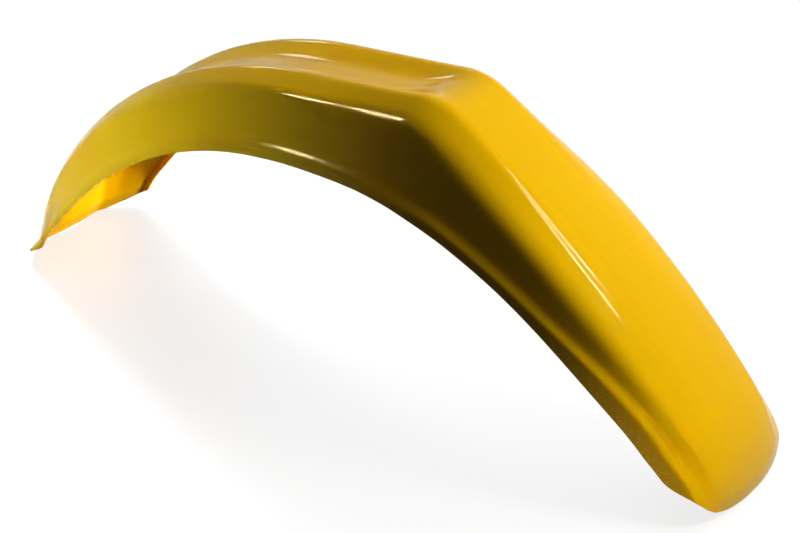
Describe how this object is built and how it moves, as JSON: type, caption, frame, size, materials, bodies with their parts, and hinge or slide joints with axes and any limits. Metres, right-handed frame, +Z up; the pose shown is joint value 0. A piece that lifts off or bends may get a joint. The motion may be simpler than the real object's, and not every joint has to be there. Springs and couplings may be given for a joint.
{
  "type": "motorcycle front mudguard",
  "caption": "Long moulded plastic front mudguard for an off-road motorcycle: arched channel with a valley, a bend and a broad nose.",
  "frame": {"origin": "centre of the bounding box, on the floor that the rear lip and the nose stand on", "axes": "+X forward, from the rear lip to the nose, +Y to the left side, +Z up"},
  "size_m": [0.8084, 0.1682, 0.2978],
  "materials": {
    "shell": "glossy yellow moulded polypropylene outside, matte grain inside"
  },
  "bodies": {
    "root": {"mudguard": "shell"}
  },
  "joints": []
}
